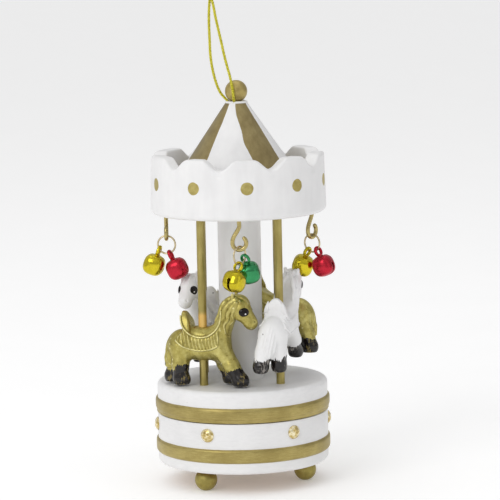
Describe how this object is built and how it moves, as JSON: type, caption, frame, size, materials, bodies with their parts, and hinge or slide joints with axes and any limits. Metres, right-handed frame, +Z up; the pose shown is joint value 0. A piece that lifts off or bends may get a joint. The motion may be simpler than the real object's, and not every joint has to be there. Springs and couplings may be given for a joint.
{
  "type": "carousel music box",
  "caption": "Painted turned-wood mini carousel music box with toy horses on poles, scalloped canopy, cone roof, jingle bells, ball feet, wind-up movement and hanging cord",
  "frame": {"origin": "on the turning axis, at the height of the plane that the three ball feet stand on", "axes": "+Z up along the turning axis, -Y towards the front pair of bells (the front-left gold horse and the front-right white horse are on either side of it), +X to the right"},
  "size_m": [0.0687, 0.0649, 0.1848],
  "materials": {
    "white_paint": "satin white paint on turned wood, gold paint on the bands, dots and stripes",
    "gold_paint": "antique gold metallic paint, slightly uneven",
    "gem": "gold faceted rhinestone",
    "bare_wood": "unpainted",
    "steel": "plain",
    "plate_zinc": "zinc plated",
    "brass": "plain",
    "hook_brass": "brass plated wire",
    "bell_gold": "bright metallic gold",
    "bell_red": "bright metallic red",
    "bell_green": "bright metallic green",
    "gold_cord": "braided metallic thread"
  },
  "bodies": {
    "base": {"base_drum": "white_paint", "base_gems": "gem", "ball_feet": "gold_paint", "bottom_cover": "bare_wood", "cover_screws": "steel", "movement_plate": "plate_zinc", "arbor_bush": "brass", "wrap_spring": "steel", "comb": "steel", "comb_screws": "brass", "cylinder_bearings": "brass", "governor_bridge": "brass"},
    "carousel": {"spring_barrel": "brass", "mainspring": "steel", "barrel_cover": "brass", "barrel_screws": "steel", "turntable": "white_paint", "centre_column": "white_paint", "horse_poles": "gold_paint", "horse_gold_front": "gold_paint", "horse_white_front": "white_paint", "horse_gold_back": "gold_paint", "horse_white_back": "white_paint", "canopy_crown": "white_paint", "cone_roof": "white_paint", "finial_ball": "gold_paint", "screw_hooks": "hook_brass", "hanging_cord": "gold_cord"},
    "winder": {"winding_arbor": "steel", "winding_key": "steel"},
    "music_cylinder": {"pin_cylinder": "brass", "cylinder_pinion": "steel"},
    "governor_train": {"governor_wheel": "brass"},
    "governor_fly": {"governor_fan": "steel"},
    "ring_front": {"ring_front": "hook_brass"},
    "bell_front_outer": {"bell_front_outer": "bell_gold", "pellet_front_outer": "steel"},
    "bell_front_inner": {"bell_front_inner": "bell_green", "pellet_front_inner": "steel"},
    "ring_right": {"ring_right": "hook_brass"},
    "bell_right_outer": {"bell_right_outer": "bell_red", "pellet_right_outer": "steel"},
    "bell_right_inner": {"bell_right_inner": "bell_gold", "pellet_right_inner": "steel"},
    "ring_back": {"ring_back": "hook_brass"},
    "bell_back_outer": {"bell_back_outer": "bell_gold", "pellet_back_outer": "steel"},
    "bell_back_inner": {"bell_back_inner": "bell_green", "pellet_back_inner": "steel"},
    "ring_left": {"ring_left": "hook_brass"},
    "bell_left_outer": {"bell_left_outer": "bell_gold", "pellet_left_outer": "steel"},
    "bell_left_inner": {"bell_left_inner": "bell_red", "pellet_left_inner": "steel"}
  },
  "joints": [
    {"name": "carousel_turn", "type": "hinge", "parent": "base", "child": "carousel", "pos_m": [0, 0, 0.0372], "axis": [0, 0, 1], "continuous": true},
    {"name": "winder_turn", "type": "hinge", "parent": "base", "child": "winder", "pos_m": [0, 0, 0.01], "axis": [0, 0, -1], "range_deg": [0, 1080]},
    {"name": "cylinder_turn", "type": "hinge", "parent": "base", "child": "music_cylinder", "pos_m": [0.0165, 0, 0.0171], "axis": [1, 0, 0], "continuous": true},
    {"name": "governor_wheel_turn", "type": "hinge", "parent": "base", "child": "governor_train", "pos_m": [-0.0123, 0.0071, 0.0171], "axis": [0, 0, 1], "continuous": true},
    {"name": "governor_fly_turn", "type": "hinge", "parent": "base", "child": "governor_fly", "pos_m": [-0.0166, -0.0003, 0.0171], "axis": [0, 0, 1], "continuous": true},
    {"name": "front_ring_swing", "type": "hinge", "parent": "carousel", "child": "ring_front", "pos_m": [0, -0.0261, 0.08844], "axis": [-0.6428, -0.766, 0], "range_deg": [-18, 18]},
    {"name": "front_outer_bell_swing", "type": "hinge", "parent": "ring_front", "child": "bell_front_outer", "pos_m": [-0.00036, -0.02653, 0.08209], "axis": [-0.633, -0.7544, 0.1736], "range_deg": [-15, 15]},
    {"name": "front_inner_bell_swing", "type": "hinge", "parent": "ring_front", "child": "bell_front_inner", "pos_m": [0.00188, -0.02386, 0.08394], "axis": [-0.2614, -0.3116, -0.9135], "range_deg": [-15, 15]},
    {"name": "right_ring_swing", "type": "hinge", "parent": "carousel", "child": "ring_right", "pos_m": [0.0261, 0, 0.08884], "axis": [0.809, -0.5878, 0], "range_deg": [-1, 12]},
    {"name": "right_outer_bell_swing", "type": "hinge", "parent": "ring_right", "child": "bell_right_outer", "pos_m": [0.02793, -0.00133, 0.08338], "axis": [0.5721, -0.4156, 0.7071], "range_deg": [-8, 8]},
    {"name": "right_inner_bell_swing", "type": "hinge", "parent": "ring_right", "child": "bell_right_inner", "pos_m": [0.02462, 0.00108, 0.08302], "axis": [0.6627, -0.4815, -0.5736], "range_deg": [-3, 3]},
    {"name": "back_ring_swing", "type": "hinge", "parent": "carousel", "child": "ring_back", "pos_m": [0, 0.0261, 0.08884], "axis": [-0.866, -0.5, 0], "range_deg": [-12, 3]},
    {"name": "back_outer_bell_swing", "type": "hinge", "parent": "ring_back", "child": "bell_back_outer", "pos_m": [-0.00171, 0.02511, 0.08312], "axis": [-0.6824, -0.394, 0.6157], "range_deg": [-6, 6]},
    {"name": "back_inner_bell_swing", "type": "hinge", "parent": "ring_back", "child": "bell_back_inner", "pos_m": [0.00171, 0.02709, 0.08312], "axis": [-0.6824, -0.394, -0.6157], "range_deg": [-6, 6]},
    {"name": "left_ring_swing", "type": "hinge", "parent": "carousel", "child": "ring_left", "pos_m": [-0.0261, 0, 0.08934], "axis": [-0.9781, 0.2079, 0], "range_deg": [-3, 12]},
    {"name": "left_outer_bell_swing", "type": "hinge", "parent": "ring_left", "child": "bell_left_outer", "pos_m": [-0.02875, 0.00056, 0.08444], "axis": [-0.5183, 0.1102, 0.848], "range_deg": [-8, 8]},
    {"name": "left_inner_bell_swing", "type": "hinge", "parent": "ring_left", "child": "bell_left_inner", "pos_m": [-0.02503, -0.00023, 0.08313], "axis": [-0.9192, 0.1954, -0.342], "range_deg": [-5, 5]}
  ],
  "couplings": [
    {"joint": "cylinder_turn", "follows": "carousel_turn", "ratio": -6},
    {"joint": "governor_wheel_turn", "follows": "carousel_turn", "ratio": -6},
    {"joint": "governor_fly_turn", "follows": "carousel_turn", "ratio": 30}
  ]
}
